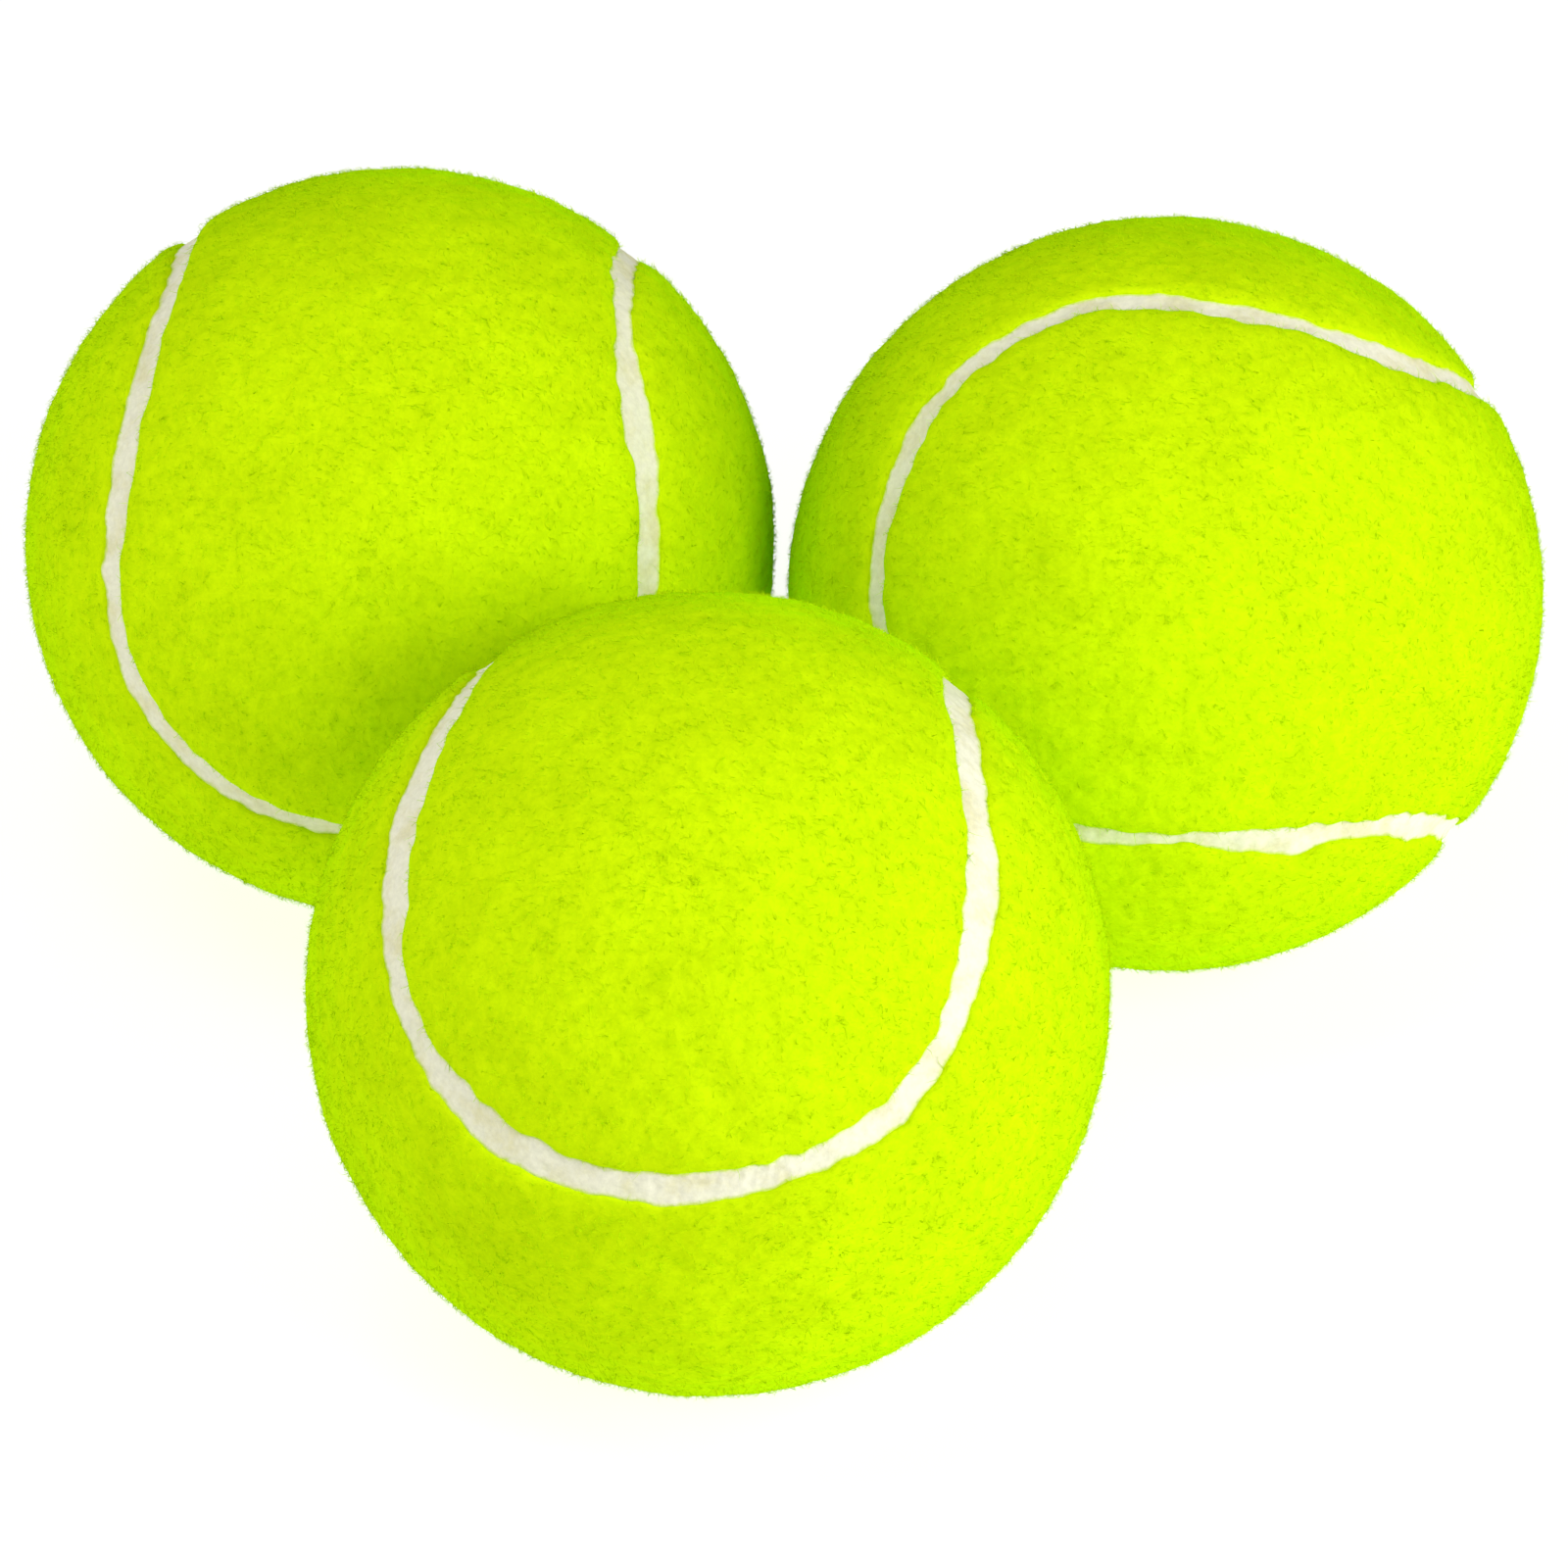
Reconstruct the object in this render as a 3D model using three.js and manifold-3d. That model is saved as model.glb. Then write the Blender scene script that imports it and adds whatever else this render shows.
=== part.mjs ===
// Three tennis balls resting against each other on a level surface, one in front of a pair.
// Millimetres, +Z up. The origin is on the surface, under the middle of the group;
// the pair behind lies along X and the front ball is towards -Y.
//
// A ball is two moulded rubber half shells cemented rim to rim, two dog-bone panels of felt
// glued over them, and a bead of seam rubber in the groove where the panels' edges meet.
import * as THREE from 'three';
import { ParametricGeometry } from 'three/addons/geometries/ParametricGeometry.js';
import { mergeVertices } from 'three/addons/utils/BufferGeometryUtils.js';
import Module from 'manifold-3d';

const wasm = await Module();
wasm.setup();

// Driving dimensions of one ball
const BALL_DIAMETER = 67;     // over the felt, inside the 65.4 to 68.6 of the rules
const FELT_THICKNESS = 3.2;
const CORE_WALL = 3.3;
const CEMENT_LINE = 0.5;      // cement between the rims of the two half shells
const GLUE_GAP = 0.3;         // clearance between glued neighbours
const SEAM_DEPTH = 1.0;       // how far the seam rubber lies below the felt
const SEAM_HOLLOW = 0.15;     // dip along the middle of the seam rubber
const PANEL_EDGE_ROLL = 0.9;  // how far the felt's edge slopes back from the groove
const NAP_FLAT = 0.4;         // how much of the nap a ball's own weight presses flat

// The seam is a wave round the ball. It is drawn as an angle t from 0 to a full turn, with a
// third and a fifth harmonic that pinch the panels' waists, and a swing up and down.
const SEAM_PINCH = 0.273;
const SEAM_SQUARENESS = -0.068;
const SEAM_SWING = 1.083;

// Air between the balls where they face each other
const GAP_FRONT_LEFT = 0.3;
const GAP_FRONT_RIGHT = 0.5;
const GAP_LEFT_RIGHT = 1.2;

// How each ball happens to lie, as turns about X, then Y, then Z, and how wide its seam is
const BALLS = {
  front: { turn: [-65.9, 0, -46.4], seamWidth: 2.9 },
  left: { turn: [-41.2, -1.7, -42.2], seamWidth: 2.4 },
  right: { turn: [50.2, -83.7, -42.8], seamWidth: 2.2 },
};

// Facets
const FELT_DETAIL = 6;
const CORE_DETAIL = 3;
const SEAM_STEPS = 84;
const SLIVER = 0.01;          // corners closer to a flat or an edge than this are merged away

// Worked out from the above
const ballRadius = BALL_DIAMETER / 2;
const feltInside = ballRadius - FELT_THICKNESS;
const coreOutside = feltInside - GLUE_GAP;
const coreInside = coreOutside - CORE_WALL;
const seamTop = ballRadius - SEAM_DEPTH;
const restHeight = ballRadius - NAP_FLAT;

const felt = new THREE.MeshStandardMaterial({ color: 0xcdf20a, roughness: 0.95, metalness: 0 });
const seamRubber = new THREE.MeshStandardMaterial({ color: 0xe6e8d2, roughness: 0.8, metalness: 0 });
const coreRubber = new THREE.MeshStandardMaterial({ color: 0x4a4744, roughness: 0.7, metalness: 0 });
const cement = new THREE.MeshStandardMaterial({ color: 0xa08c62, roughness: 0.6, metalness: 0 });

// Closed geometry to a solid that can be cut and joined
function solid(geometry) {
  geometry.deleteAttribute('normal');
  geometry.deleteAttribute('uv');
  const merged = mergeVertices(geometry);
  const vertProperties = Float32Array.from(merged.attributes.position.array);
  const triVerts = Uint32Array.from(merged.index.array);
  return new wasm.Manifold(new wasm.Mesh({ numProp: 3, vertProperties, triVerts }));
}

// Solid to a named mesh
function piece(name, body, material) {
  const { vertProperties, triVerts } = body.simplify(SLIVER).getMesh();
  const geometry = new THREE.BufferGeometry();
  geometry.setAttribute('position', new THREE.BufferAttribute(vertProperties, 3));
  geometry.setIndex(new THREE.BufferAttribute(triVerts, 1));
  geometry.computeVertexNormals();
  const mesh = new THREE.Mesh(geometry, material);
  mesh.name = name;
  return mesh;
}

const sphere = (radius, detail) => solid(new THREE.IcosahedronGeometry(radius, detail));

// The seam's line, as directions from the ball's centre
class SeamLine extends THREE.Curve {
  getPoint(fraction, target = new THREE.Vector3()) {
    const t = 2 * Math.PI * fraction;
    return target.set(
      Math.cos(t) + SEAM_PINCH * Math.cos(3 * t) + SEAM_SQUARENESS * Math.cos(5 * t),
      Math.sin(t) - SEAM_PINCH * Math.sin(3 * t) + SEAM_SQUARENESS * Math.sin(5 * t),
      SEAM_SWING * Math.sin(2 * t),
    ).normalize();
  }
}
const seamLine = new SeamLine();

// Carries a closed section round the seam. Each corner is a distance from the ball's centre
// and an offset to the side of the seam's line.
function ringAlongSeam(corners) {
  const direction = new THREE.Vector3();
  const side = new THREE.Vector3();
  function corner(along, around, target) {
    const [radius, offset] = corners[Math.round(around * corners.length) % corners.length];
    seamLine.getPointAt(along % 1, direction);
    side.crossVectors(direction, seamLine.getTangentAt(along % 1)).normalize();
    target.copy(direction).multiplyScalar(Math.sqrt(radius ** 2 - offset ** 2));
    target.addScaledVector(side, offset);
  }
  return solid(new ParametricGeometry(corner, SEAM_STEPS, corners.length));
}

// A slice of the core's wall between two heights over the plane of the rims
function coreSlice(low, high) {
  const wall = sphere(coreOutside, CORE_DETAIL).subtract(sphere(coreInside, CORE_DETAIL));
  const slab = new THREE.BoxGeometry(BALL_DIAMETER, BALL_DIAMETER, high - low);
  return wall.intersect(solid(slab.translate(0, 0, (low + high) / 2)));
}

function coreParts(name) {
  const rim = CEMENT_LINE / 2 + GLUE_GAP;
  return [
    piece(`${name}_core_half_1`, coreSlice(rim, ballRadius), coreRubber),
    piece(`${name}_core_half_2`, coreSlice(-ballRadius, -rim), coreRubber),
    piece(`${name}_core_joint`, coreSlice(-CEMENT_LINE / 2, CEMENT_LINE / 2), cement),
  ];
}

// The groove between the panels: straight beside the seam rubber, then sloping back to the
// felt's surface. It reaches past the felt on both sides.
function seamGroove(seamWidth) {
  const wall = seamWidth / 2 + GLUE_GAP;
  const past = 1;
  const mouth = wall + PANEL_EDGE_ROLL * (1 + past / SEAM_DEPTH);
  return ringAlongSeam([
    [feltInside - past, wall], [feltInside - past, -wall], [seamTop, -wall],
    [ballRadius + past, -mouth], [ballRadius + past, mouth], [seamTop, wall],
  ]);
}

// A felt shell, cut along the groove into two equal panels and pressed flat where it rests.
// Panel 1 has its waist on the ball's +Z pole, panel 2 on the other.
function feltPanels(name, seamWidth, rotation) {
  const surface = new THREE.BoxGeometry(BALL_DIAMETER, BALL_DIAMETER, BALL_DIAMETER);
  surface.translate(0, 0, -ballRadius - restHeight);
  surface.applyQuaternion(new THREE.Quaternion().setFromEuler(rotation).invert());
  const shell = sphere(ballRadius, FELT_DETAIL).subtract(sphere(feltInside, CORE_DETAIL));
  const panels = shell.subtract(seamGroove(seamWidth)).subtract(solid(surface)).decompose();
  panels.sort((one, other) => other.boundingBox().max[2] - one.boundingBox().max[2]);
  return panels.map((panel, i) => piece(`${name}_felt_panel_${i + 1}`, panel, felt));
}

// The bead of seam rubber, a little hollow along its middle
function seamBead(name, seamWidth) {
  const half = seamWidth / 2;
  const middle = seamTop - SEAM_HOLLOW;
  return piece(`${name}_seam`, ringAlongSeam([
    [feltInside, half], [feltInside, -half], [seamTop, -half], [middle, 0], [seamTop, half],
  ]), seamRubber);
}

function ball(name, x, y) {
  const { turn, seamWidth } = BALLS[name];
  const group = new THREE.Group();
  group.position.set(x, y, restHeight);
  group.rotation.set(...turn.map(THREE.MathUtils.degToRad));
  group.add(...coreParts(name));
  group.add(...feltPanels(name, seamWidth, group.rotation));
  group.add(seamBead(name, seamWidth));
  return group;
}

// The three centres are a triangle whose sides are a diameter and a gap each, with the pair
// as far to either side of the origin in X as the front ball and the pair are in Y.
const toLeft = BALL_DIAMETER + GAP_FRONT_LEFT;
const toRight = BALL_DIAMETER + GAP_FRONT_RIGHT;
const halfPair = (BALL_DIAMETER + GAP_LEFT_RIGHT) / 2;
const frontX = (toLeft ** 2 - toRight ** 2) / (4 * halfPair);
const halfDepth = Math.sqrt(toLeft ** 2 - (halfPair + frontX) ** 2) / 2;

const balls = new THREE.Group();
balls.add(ball('front', frontX, -halfDepth));
balls.add(ball('left', -halfPair, halfDepth));
balls.add(ball('right', halfPair, halfDepth));

export default balls;
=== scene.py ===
"""Three tennis balls on a pale surface: the finished look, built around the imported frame.

Each ball is a rubber core in two halves under two dog-bone panels of needle felt, whose fibres are
brushed up into a nap, with a bead of off-white seam rubber in the groove between the panels.
Shapes are worked out in millimetres and stored in metres.
"""

import logging
import math
from dataclasses import dataclass, field
from enum import Enum
from typing import Any, Mapping, Sequence

import bpy
import numpy as np
from mathutils import Matrix, Vector


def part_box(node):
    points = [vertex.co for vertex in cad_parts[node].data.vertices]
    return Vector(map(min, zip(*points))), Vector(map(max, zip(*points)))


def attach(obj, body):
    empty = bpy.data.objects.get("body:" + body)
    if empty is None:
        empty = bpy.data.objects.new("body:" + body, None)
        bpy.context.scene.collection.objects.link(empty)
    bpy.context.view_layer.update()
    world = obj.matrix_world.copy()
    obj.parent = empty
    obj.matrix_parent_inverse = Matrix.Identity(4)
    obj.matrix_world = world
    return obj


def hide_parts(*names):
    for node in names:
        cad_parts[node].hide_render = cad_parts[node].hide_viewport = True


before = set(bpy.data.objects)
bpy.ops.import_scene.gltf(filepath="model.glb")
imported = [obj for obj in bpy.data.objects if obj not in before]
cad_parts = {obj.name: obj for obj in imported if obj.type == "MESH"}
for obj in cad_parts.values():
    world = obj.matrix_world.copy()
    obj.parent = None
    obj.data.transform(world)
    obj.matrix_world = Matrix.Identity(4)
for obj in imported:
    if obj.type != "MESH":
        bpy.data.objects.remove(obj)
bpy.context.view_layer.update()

logging.basicConfig(level=logging.INFO, format="%(message)s")
log = logging.getLogger("tennis_balls")

MM = 0.001


class BallName(Enum):
    """The three balls, by where they lie."""

    FRONT = "front"
    LEFT = "left"
    RIGHT = "right"


class Slot(Enum):
    """The record's material slots."""

    FELT = "felt"
    SEAM = "seam_rubber"


# ---------------------------------------------------------------------------------------------
# Colours, nodes and meshes


def colour(hex_code: str) -> tuple[float, float, float, float]:
    """Turns an sRGB hex colour into the linear colour that a shader takes.

    Args:
        hex_code: Six hex digits, red first.

    Returns:
        Linear red, green and blue, and an alpha of 1.
    """
    encoded = np.array([int(hex_code[i : i + 2], 16) for i in (0, 2, 4)]) / 255
    linear = np.where(encoded <= 0.04045, encoded / 12.92, ((encoded + 0.055) / 1.055) ** 2.4)
    return (*map(float, linear), 1.0)


def add_node(
    tree: bpy.types.NodeTree,
    kind: str,
    settings: Mapping[str, Any] | None = None,
    inputs: Mapping[str | int, Any] | None = None,
) -> bpy.types.Node:
    """Adds a node, sets it up and links it.

    Args:
        tree: The tree that gets the node.
        kind: The shader node's type, without the ShaderNode that it starts with.
        settings: The node's own options.
        inputs: What each input socket gets: a value, or another node's output to link.

    Returns:
        The new node.
    """
    node = tree.nodes.new(f"ShaderNode{kind}")
    for option, value in (settings or {}).items():
        setattr(node, option, value)
    for socket, value in (inputs or {}).items():
        if isinstance(value, bpy.types.NodeSocket):
            tree.links.new(value, node.inputs[socket])
        else:
            node.inputs[socket].default_value = value
    return node


def new_material(name: str) -> tuple[bpy.types.Material, bpy.types.NodeTree]:
    """Makes a material with no nodes yet.

    Args:
        name: The material's name.

    Returns:
        The material and its empty tree.
    """
    made = bpy.data.materials.new(name)
    made.use_nodes = True
    made.node_tree.nodes.clear()
    return made, made.node_tree


def mesh_object(
    name: str, points: np.ndarray, triangles: np.ndarray, material: bpy.types.Material
) -> bpy.types.Object:
    """Makes a smooth-shaded mesh object at the origin.

    Args:
        name: The piece's name.
        points: Corner places in millimetres, one row each.
        triangles: Three corner numbers a row, anticlockwise seen from outside.
        material: The finish.

    Returns:
        The object, linked to the scene.
    """
    mesh = bpy.data.meshes.new(name)
    mesh.vertices.add(len(points))
    mesh.vertices.foreach_set("co", (points * MM).astype(np.float32).ravel())
    mesh.loops.add(triangles.size)
    mesh.loops.foreach_set("vertex_index", triangles.astype(np.int32).ravel())
    mesh.polygons.add(len(triangles))
    mesh.polygons.foreach_set("loop_start", np.arange(0, triangles.size, 3, dtype=np.int32))
    mesh.update(calc_edges=True)
    mesh.shade_smooth()
    mesh.materials.append(material)
    made = bpy.data.objects.new(name, mesh)
    bpy.context.scene.collection.objects.link(made)
    return made


def report(piece: bpy.types.Object) -> None:
    """Reports a piece and how many triangles it has."""
    log.info("%s: %d triangles", piece.name, len(piece.data.polygons))


def unit(vectors: np.ndarray) -> np.ndarray:
    """Scales each row to length one."""
    return vectors / np.linalg.norm(vectors, axis=-1, keepdims=True)


def turning(degrees: tuple[float, float, float]) -> np.ndarray:
    """Works out the matrix that turns about Z, then Y, then X.

    Args:
        degrees: The turns about X, Y and Z.

    Returns:
        A 3 by 3 matrix for column vectors.
    """
    turn = Matrix.Identity(3)
    for angle, axis in zip(degrees, "XYZ"):
        turn = turn @ Matrix.Rotation(math.radians(angle), 3, axis)
    return np.array(turn)


@dataclass(frozen=True)
class Relief:
    """Smooth random unevenness in space, as a sum of plane waves in seeded directions.

    Attributes:
        wavelength: Typical distance from crest to crest, in mm.
        height: Root mean square height, in mm.
        seed: Seed of the directions and phases.
        waves: How many waves are summed.
    """

    wavelength: float
    height: float
    seed: int
    waves: int = 36

    def at(self, points: np.ndarray) -> np.ndarray:
        """Height at each point: the sum over waves of cos(wave vector . point + phase)."""
        rng = np.random.default_rng(self.seed)
        lengths = self.wavelength * rng.uniform(0.7, 1.5, self.waves)
        vectors = unit(rng.normal(size=(self.waves, 3))) * (2 * np.pi / lengths)[:, None]
        phases = rng.uniform(0, 2 * np.pi, self.waves)
        total = np.cos(points @ vectors.T + phases).sum(axis=1)
        return self.height * math.sqrt(2 / self.waves) * total


@dataclass(frozen=True)
class RaggedLine:
    """Random waver of an edge that closes on itself, as a sum of whole waves round the loop.

    Attributes:
        height: Root mean square waver, in mm.
        seed: Seed of the sizes and phases.
        fewest: Waves round the loop in the longest waver.
        most: Waves round the loop in the shortest waver.
    """

    height: float
    seed: int
    fewest: int = 9
    most: int = 140

    def at(self, t: np.ndarray) -> np.ndarray:
        """Waver at each angle along the seam: waves of count k, k to the -0.5 high."""
        rng = np.random.default_rng(self.seed)
        counts = np.arange(self.fewest, self.most)
        sizes = rng.normal(size=counts.size) * counts**-0.5
        phases = rng.uniform(0, 2 * np.pi, counts.size)
        waves = sizes * np.cos(t[:, None] * counts + phases)
        return self.height * waves.sum(axis=1) / math.sqrt((sizes**2).sum() / 2)


# ---------------------------------------------------------------------------------------------
# Finishes


@dataclass(frozen=True)
class NeedleFelt:
    """Optic yellow needle felt of wool and nylon: a matt mat of fine curled fibres.

    The eye gets a very clean yellow-green, faintly mottled along the way the felt was laid,
    with painted shade that darkens the small pits where it sees down between the fibres, a
    painted highlight that lightens the raised tufts where they bunch, and a soft greener sheen
    at grazing angles.

    Attributes:
        name: The material's name.
        deep: Painted shade: the darker colour that the pits down between the fibres are given.
        body: Colour of most of the felt.
        tuft_highlight: Painted highlight: the lighter colour that the bunched fibres are given.
        fuzz: Colour of light that has passed through the standing fibres.
        fibre_mm: Width of the finest mark, drawn coarser than a 0.03 mm fibre so that it shows.
        clump_mm: Width of a clump of fibres.
        cloud_mm: Width of the faint uneven dyeing.
        stretch: How many times longer the marks are along the felt than across.
        fibre_share: How much of the height is single fibres; clumps make the rest.
        bump_mm: Height of the fibres' relief.
        sheen: Strength of the fuzz's sheen.
    """

    name: str = "needle_felt_optic_yellow"
    deep: str = "BDE205"
    body: str = "C9EA06"
    tuft_highlight: str = "CFEE08"
    fuzz: str = "7CFF00"
    fibre_mm: float = 0.3
    clump_mm: float = 1.1
    cloud_mm: float = 8.0
    stretch: float = 1.15
    fibre_share: float = 0.45
    bump_mm: float = 0.04
    sheen: float = 0.42

    def material(self) -> bpy.types.Material:
        """Builds the material.

        Returns:
            The material, whose patterns follow the felt's lay.
        """
        made, tree = new_material(self.name)
        lay = add_node(tree, "Attribute", {"attribute_name": "lay"}).outputs["Vector"]
        grain = add_node(tree, "VectorMath", {"operation": "MULTIPLY"}, {
            0: lay, 1: (1 / self.stretch, 1.0, 1.0),
        }).outputs["Vector"]
        fibres, clumps, clouds = (
            add_node(tree, "TexNoise", None, {
                "Vector": place, "Scale": 1 / (width_mm * MM), "Detail": detail,
                "Roughness": 0.6, "Distortion": 0.5,
            }).outputs["Fac"]
            for place, width_mm, detail in (
                (grain, self.fibre_mm, 3.0), (grain, self.clump_mm, 3.0), (lay, self.cloud_mm, 2.0),
            )
        )
        # Fibres and clumps together make the height of the felt's surface
        clumped = add_node(tree, "Math", {"operation": "MULTIPLY"}, {
            0: clumps, 1: 1 - self.fibre_share,
        }).outputs["Value"]
        height = add_node(tree, "Math", {"operation": "MULTIPLY_ADD"}, {
            0: fibres, 1: self.fibre_share, 2: clumped,
        }).outputs["Value"]
        # Painted highlight: where the fibres stand highest, the colour is mixed towards a lighter
        # one
        tuft_highlight_share = add_node(tree, "MapRange", None, {
            "Value": height, "From Min": 0.48, "From Max": 0.64,
        }).outputs["Result"]
        raised = add_node(tree, "MixRGB", None, {
            "Fac": tuft_highlight_share, "Color1": colour(self.body), "Color2": colour(self.tuft_highlight),
        }).outputs["Color"]
        # Painted shade: where the fibres are lowest, between them, the colour is mixed towards a
        # darker one
        pit_shade_share = add_node(tree, "MapRange", None, {
            "Value": height, "From Min": 0.34, "From Max": 0.54, "To Min": 1.0, "To Max": 0.0,
        }).outputs["Result"]
        mottled = add_node(tree, "MixRGB", None, {
            "Fac": pit_shade_share, "Color1": raised, "Color2": colour(self.deep),
        }).outputs["Color"]
        dye = add_node(tree, "MapRange", None, {
            "Value": clouds, "From Min": 0.3, "From Max": 0.7, "To Min": 0.94, "To Max": 1.04,
        }).outputs["Result"]
        dyed = add_node(tree, "MixRGB", {"blend_type": "MULTIPLY"}, {
            "Fac": 1.0, "Color1": mottled, "Color2": dye,
        }).outputs["Color"]
        bump = add_node(tree, "Bump", None, {
            "Strength": 0.5, "Distance": self.bump_mm * MM, "Height": height,
        }).outputs["Normal"]
        rough = add_node(tree, "MapRange", None, {
            "Value": height, "From Min": 0.3, "From Max": 0.7, "To Min": 1.0, "To Max": 0.86,
        }).outputs["Result"]
        shader = add_node(tree, "BsdfPrincipled", None, {
            "Base Color": dyed, "Roughness": rough, "Normal": bump, "IOR": 1.54,
            "Specular IOR Level": 0.0, "Sheen Weight": self.sheen,
            "Sheen Roughness": 0.45, "Sheen Tint": colour(self.fuzz),
        }).outputs["BSDF"]
        add_node(tree, "OutputMaterial", None, {"Surface": shader})
        return made


@dataclass(frozen=True)
class SeamRubber:
    """Vulcanised seam rubber: off-white, matt and faintly grainy, stained by the felt's dye.

    The bead carries an attribute, felt_gap, with the distance to the felt in mm.

    Attributes:
        name: The material's name.
        clean: Colour of clean rubber.
        stained: Colour where dye has marked it.
        linted: Colour along the felt, where loose fibres are stuck down in it.
        lint_mm: How far from the felt the last stuck fibres are.
        grain_mm: Width of the grains in its skin.
        stain_mm: Width of the stains.
        bump_mm: Height of the grain.
    """

    name: str = "seam_rubber_off_white"
    clean: str = "F1EFD6"
    stained: str = "E4DFB0"
    linted: str = "CCE03C"
    lint_mm: float = 0.45
    grain_mm: float = 0.45
    stain_mm: float = 4.0
    bump_mm: float = 0.08

    def material(self) -> bpy.types.Material:
        """Builds the material.

        Returns:
            The material, whose patterns read Object coordinates.
        """
        made, tree = new_material(self.name)
        place = add_node(tree, "TexCoord").outputs["Object"]
        grain, stains = (
            add_node(tree, "TexNoise", None, {
                "Vector": place, "Scale": 1 / (width_mm * MM), "Detail": detail,
                "Roughness": fading,
            }).outputs["Fac"]
            for width_mm, detail, fading in ((self.grain_mm, 4.0, 0.6), (self.stain_mm, 5.0, 0.65))
        )
        stain_share = add_node(tree, "MapRange", {"interpolation_type": "SMOOTHSTEP"}, {
            "Value": stains, "From Min": 0.42, "From Max": 0.72,
        }).outputs["Result"]
        marked = add_node(tree, "MixRGB", None, {
            "Fac": stain_share, "Color1": colour(self.clean), "Color2": colour(self.stained),
        }).outputs["Color"]
        shade = add_node(tree, "MapRange", None, {
            "Value": grain, "From Min": 0.3, "From Max": 0.7, "To Min": 0.9, "To Max": 1.03,
        }).outputs["Result"]
        grained = add_node(tree, "MixRGB", {"blend_type": "MULTIPLY"}, {
            "Fac": 1.0, "Color1": marked, "Color2": shade,
        }).outputs["Color"]
        gap = add_node(tree, "Attribute", {"attribute_name": "felt_gap"})
        # The lint's edge is ragged: the grain, mostly 0.3 to 0.7, moves it by up to 0.2 mm
        ragged = add_node(tree, "Math", {"operation": "MULTIPLY_ADD"}, {
            0: grain, 1: 0.5, 2: gap.outputs["Fac"],
        }).outputs["Value"]
        lint = add_node(tree, "MapRange", {"interpolation_type": "SMOOTHSTEP"}, {
            "Value": ragged, "From Min": 0.2, "From Max": 0.2 + self.lint_mm,
            "To Min": 0.9, "To Max": 0.0,
        }).outputs["Result"]
        edged = add_node(tree, "MixRGB", None, {
            "Fac": lint, "Color1": grained, "Color2": colour(self.linted),
        }).outputs["Color"]
        bump = add_node(tree, "Bump", None, {
            "Strength": 0.6, "Distance": self.bump_mm * MM, "Height": grain,
        }).outputs["Normal"]
        rough = add_node(tree, "MapRange", None, {
            "Value": grain, "From Min": 0.3, "From Max": 0.7, "To Min": 0.82, "To Max": 0.6,
        }).outputs["Result"]
        shader = add_node(tree, "BsdfPrincipled", None, {
            "Base Color": edged, "Roughness": rough, "Normal": bump, "IOR": 1.52,
            "Specular IOR Level": 0.35,
        }).outputs["BSDF"]
        add_node(tree, "OutputMaterial", None, {"Surface": shader})
        return made


@dataclass(frozen=True)
class MouldedRubber:
    """Press-moulded rubber of the core: matt, with a fine orange-peel skin and filler specks.

    Attributes:
        name: The material's name.
        skin: Colour of the moulded skin.
        bloom: Colour of the pale bloom that comes out on it.
        speck_mm: Width of the filler specks.
        bloom_mm: Width of the bloom's patches.
    """

    name: str
    skin: str
    bloom: str
    speck_mm: float = 0.6
    bloom_mm: float = 7.0

    def material(self) -> bpy.types.Material:
        """Builds the material.

        Returns:
            The material, whose patterns read Object coordinates.
        """
        made, tree = new_material(self.name)
        place = add_node(tree, "TexCoord").outputs["Object"]
        specks, blooms = (
            add_node(tree, "TexNoise", None, {
                "Vector": place, "Scale": 1 / (width_mm * MM), "Detail": detail,
                "Roughness": fading,
            }).outputs["Fac"]
            for width_mm, detail, fading in ((self.speck_mm, 3.0, 0.5), (self.bloom_mm, 5.0, 0.6))
        )
        share = add_node(tree, "MapRange", {"interpolation_type": "SMOOTHSTEP"}, {
            "Value": blooms, "From Min": 0.45, "From Max": 0.75,
        }).outputs["Result"]
        bloomed = add_node(tree, "MixRGB", None, {
            "Fac": share, "Color1": colour(self.skin), "Color2": colour(self.bloom),
        }).outputs["Color"]
        bump = add_node(tree, "Bump", None, {
            "Strength": 0.4, "Distance": 0.05 * MM, "Height": specks,
        }).outputs["Normal"]
        rough = add_node(tree, "MapRange", None, {
            "Value": blooms, "From Min": 0.3, "From Max": 0.7, "To Min": 0.62, "To Max": 0.8,
        }).outputs["Result"]
        shader = add_node(tree, "BsdfPrincipled", None, {
            "Base Color": bloomed, "Roughness": rough, "Normal": bump, "IOR": 1.52,
        }).outputs["BSDF"]
        add_node(tree, "OutputMaterial", None, {"Surface": shader})
        return made


@dataclass(frozen=True)
class LightTable:
    """Opal acrylic light table, lit from below so that it stays almost white under the balls.

    Attributes:
        name: The material's name.
        opal: The acrylic's colour by reflected light.
        glow: How bright the light through it is.
    """

    name: str = "opal_acrylic_light_table"
    opal: str = "AEAEAC"
    glow: float = 0.78

    def material(self) -> bpy.types.Material:
        """Builds the material."""
        made, tree = new_material(self.name)
        shader = add_node(tree, "BsdfPrincipled", None, {
            "Base Color": colour(self.opal), "Roughness": 0.9, "Specular IOR Level": 0.1,
            "Emission Color": colour("FFFFFF"), "Emission Strength": self.glow,
        }).outputs["BSDF"]
        add_node(tree, "OutputMaterial", None, {"Surface": shader})
        return made


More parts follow.
